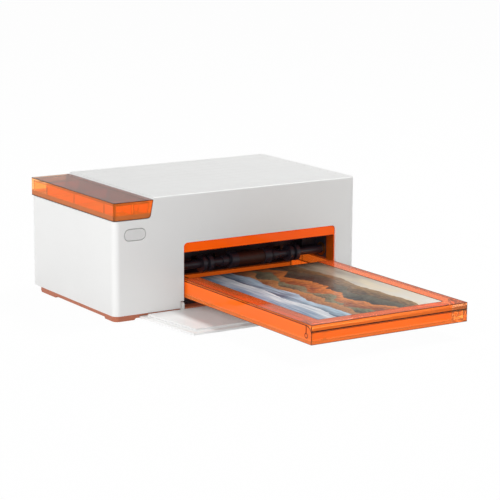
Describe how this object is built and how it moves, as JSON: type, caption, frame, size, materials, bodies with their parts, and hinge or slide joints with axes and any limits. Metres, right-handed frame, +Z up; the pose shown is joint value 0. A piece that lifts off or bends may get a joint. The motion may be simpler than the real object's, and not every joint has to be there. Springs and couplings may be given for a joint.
{
  "type": "compact photo printer",
  "caption": "Compact photo printer with a drop-down front cover, a clear sheet cassette with hinged lid, a ribbon door in the side and a clear corner block.",
  "frame": {"origin": "middle of the footprint, on the surface that the feet stand on", "axes": "+X to the right seen from the front, +Y to the back, +Z up"},
  "size_m": [0.2, 0.281, 0.0844],
  "materials": {
    "white_housing": "fine satin moulded ABS",
    "clear_amber": "clear amber polycarbonate, polished",
    "base_terracotta": "satin moulded plastic",
    "black_plastic": "matt black moulding",
    "plated_steel": "zinc-plated sheet and wire",
    "black_rubber": "matt rubber",
    "brown_rubber": "ground rubber drum",
    "gear_acetal": "natural acetal",
    "bronze_bush": "sintered bronze",
    "aluminium": "extruded aluminium",
    "ceramic_head": "glazed ceramic strip",
    "circuit_board": "solder-masked board with components",
    "ribbon_film": "dyed polyester film",
    "photo_paper": "glossy photo print",
    "foot_pads": "soft pad in the colour of the base"
  },
  "bodies": {
    "chassis": {"upper_shell": "white_housing", "base_plate": "base_terracotta", "feet": "foot_pads", "base_screws": "plated_steel", "opening_lining": "clear_amber", "corner_cover": "clear_amber", "corner_cover_floor": "clear_amber", "floor_frame": "black_plastic", "left_side_frame": "black_plastic", "right_side_frame": "black_plastic", "top_deck": "plated_steel", "feed_guide": "black_plastic", "feed_ramp": "black_plastic", "exit_guide": "black_plastic", "gear_plate": "plated_steel", "gear_plate_posts": "plated_steel", "idler_axles": "plated_steel", "shaft_bushes": "bronze_bush", "drive_motor": "plated_steel", "supply_hub": "plated_steel", "ribbon_cartridge": "black_plastic", "ribbon_film": "ribbon_film", "head_springs": "plated_steel", "head_pivot_rod": "plated_steel", "main_board": "circuit_board", "board_spacers": "bronze_bush", "power_board": "circuit_board", "button_board": "circuit_board", "front_cover_pins": "plated_steel", "ribbon_door_pins": "plated_steel"},
    "motor_rotor": {"motor_pinion": "bronze_bush"},
    "large_idler": {"large_idler_gear": "gear_acetal"},
    "small_idler": {"small_idler_gear": "gear_acetal"},
    "pickup_roller": {"pickup_shaft": "black_plastic", "pickup_drum": "brown_rubber", "pickup_discs": "black_plastic", "pickup_gear": "gear_acetal"},
    "feed_roller_set": {"feed_roller": "plated_steel", "feed_roller_gear": "gear_acetal"},
    "pinch_roller_set": {"pinch_roller": "black_rubber"},
    "platen": {"platen_shaft": "plated_steel", "platen_sleeve": "black_rubber"},
    "takeup_drive": {"takeup_drive_gear": "gear_acetal"},
    "takeup": {"takeup_spool": "ribbon_film"},
    "supply": {"supply_spool": "ribbon_film"},
    "head": {"thermal_head": "ceramic_head", "head_carriage": "aluminium"},
    "button": {"power_button": "white_housing"},
    "cover": {"front_cover": "white_housing"},
    "side_door": {"ribbon_door": "white_housing"},
    "cassette": {"cassette_tray": "clear_amber", "lift_spring": "plated_steel"},
    "lid": {"cassette_lid": "clear_amber", "photo_print": "photo_paper"},
    "sheet_lifter": {"lift_plate": "plated_steel"}
  },
  "joints": [
    {"name": "motor_spin", "type": "hinge", "parent": "chassis", "child": "motor_rotor", "pos_m": [0, 0.08797, 0.02997], "axis": [1, 0, 0], "continuous": true},
    {"name": "large_idler_spin", "type": "hinge", "parent": "chassis", "child": "large_idler", "pos_m": [0, 0.08797, 0.05077], "axis": [1, 0, 0], "continuous": true},
    {"name": "small_idler_spin", "type": "hinge", "parent": "chassis", "child": "small_idler", "pos_m": [0, 0.05115, 0.02533], "axis": [1, 0, 0], "continuous": true},
    {"name": "pickup_spin", "type": "hinge", "parent": "chassis", "child": "pickup_roller", "pos_m": [0, 0.0325, 0.0299], "axis": [1, 0, 0], "continuous": true},
    {"name": "feed_spin", "type": "hinge", "parent": "chassis", "child": "feed_roller_set", "pos_m": [0, 0.0675, 0.0354], "axis": [1, 0, 0], "continuous": true},
    {"name": "pinch_spin", "type": "hinge", "parent": "chassis", "child": "pinch_roller_set", "pos_m": [0, 0.0675, 0.0281], "axis": [1, 0, 0], "continuous": true},
    {"name": "platen_spin", "type": "hinge", "parent": "chassis", "child": "platen", "pos_m": [0, 0.0935, 0.0369], "axis": [1, 0, 0], "continuous": true},
    {"name": "takeup_drive_spin", "type": "hinge", "parent": "chassis", "child": "takeup_drive", "pos_m": [0, 0.1155, 0.0559], "axis": [1, 0, 0], "continuous": true},
    {"name": "takeup_spool_spin", "type": "hinge", "parent": "chassis", "child": "takeup", "pos_m": [0, 0.1155, 0.0559], "axis": [1, 0, 0], "continuous": true},
    {"name": "supply_spool_spin", "type": "hinge", "parent": "chassis", "child": "supply", "pos_m": [0, 0.0695, 0.0569], "axis": [1, 0, 0], "continuous": true},
    {"name": "head_lift", "type": "hinge", "parent": "chassis", "child": "head", "pos_m": [0, 0.1125, 0.0719], "axis": [-1, 0, 0], "range_deg": [0, 4], "deforming": ["head_springs"]},
    {"name": "button_press", "type": "slide", "parent": "chassis", "child": "button", "axis": [0, 1, 0], "range_m": [0, 0.0008], "stiffness_N_per_m": 400},
    {"name": "front_cover_swing", "type": "hinge", "parent": "chassis", "child": "cover", "pos_m": [0, 0.0178, 0.0059], "axis": [-1, 0, 0], "range_deg": [0, 7]},
    {"name": "ribbon_door_swing", "type": "hinge", "parent": "chassis", "child": "side_door", "pos_m": [0.0974, 0.0935, 0.0429], "axis": [0, 1, 0], "range_deg": [0, 90]},
    {"name": "cassette_slide", "type": "slide", "parent": "chassis", "child": "cassette", "axis": [0, -1, 0], "range_m": [0, 0.046]},
    {"name": "cassette_lid_swing", "type": "hinge", "parent": "cassette", "child": "lid", "pos_m": [0.019, -0.1345, 0.0159], "axis": [1, 0, 0], "range_deg": [0, 50]},
    {"name": "lift_plate_swing", "type": "hinge", "parent": "cassette", "child": "sheet_lifter", "pos_m": [0.019, -0.0045, 0.0138], "axis": [1, 0, 0], "range_deg": [0, 12]}
  ],
  "couplings": [
    {"joint": "motor_spin", "follows": "feed_spin", "ratio": 2},
    {"joint": "large_idler_spin", "follows": "feed_spin", "ratio": -0.6},
    {"joint": "small_idler_spin", "follows": "feed_spin", "ratio": -1},
    {"joint": "pickup_spin", "follows": "feed_spin", "ratio": 1},
    {"joint": "takeup_drive_spin", "follows": "feed_spin", "ratio": 0.8},
    {"joint": "takeup_spool_spin", "follows": "feed_spin", "ratio": 0.8},
    {"joint": "supply_spool_spin", "follows": "feed_spin", "ratio": 0.54737},
    {"joint": "pinch_spin", "follows": "feed_spin", "ratio": -1.3333},
    {"joint": "platen_spin", "follows": "feed_spin", "ratio": -0.66667}
  ]
}
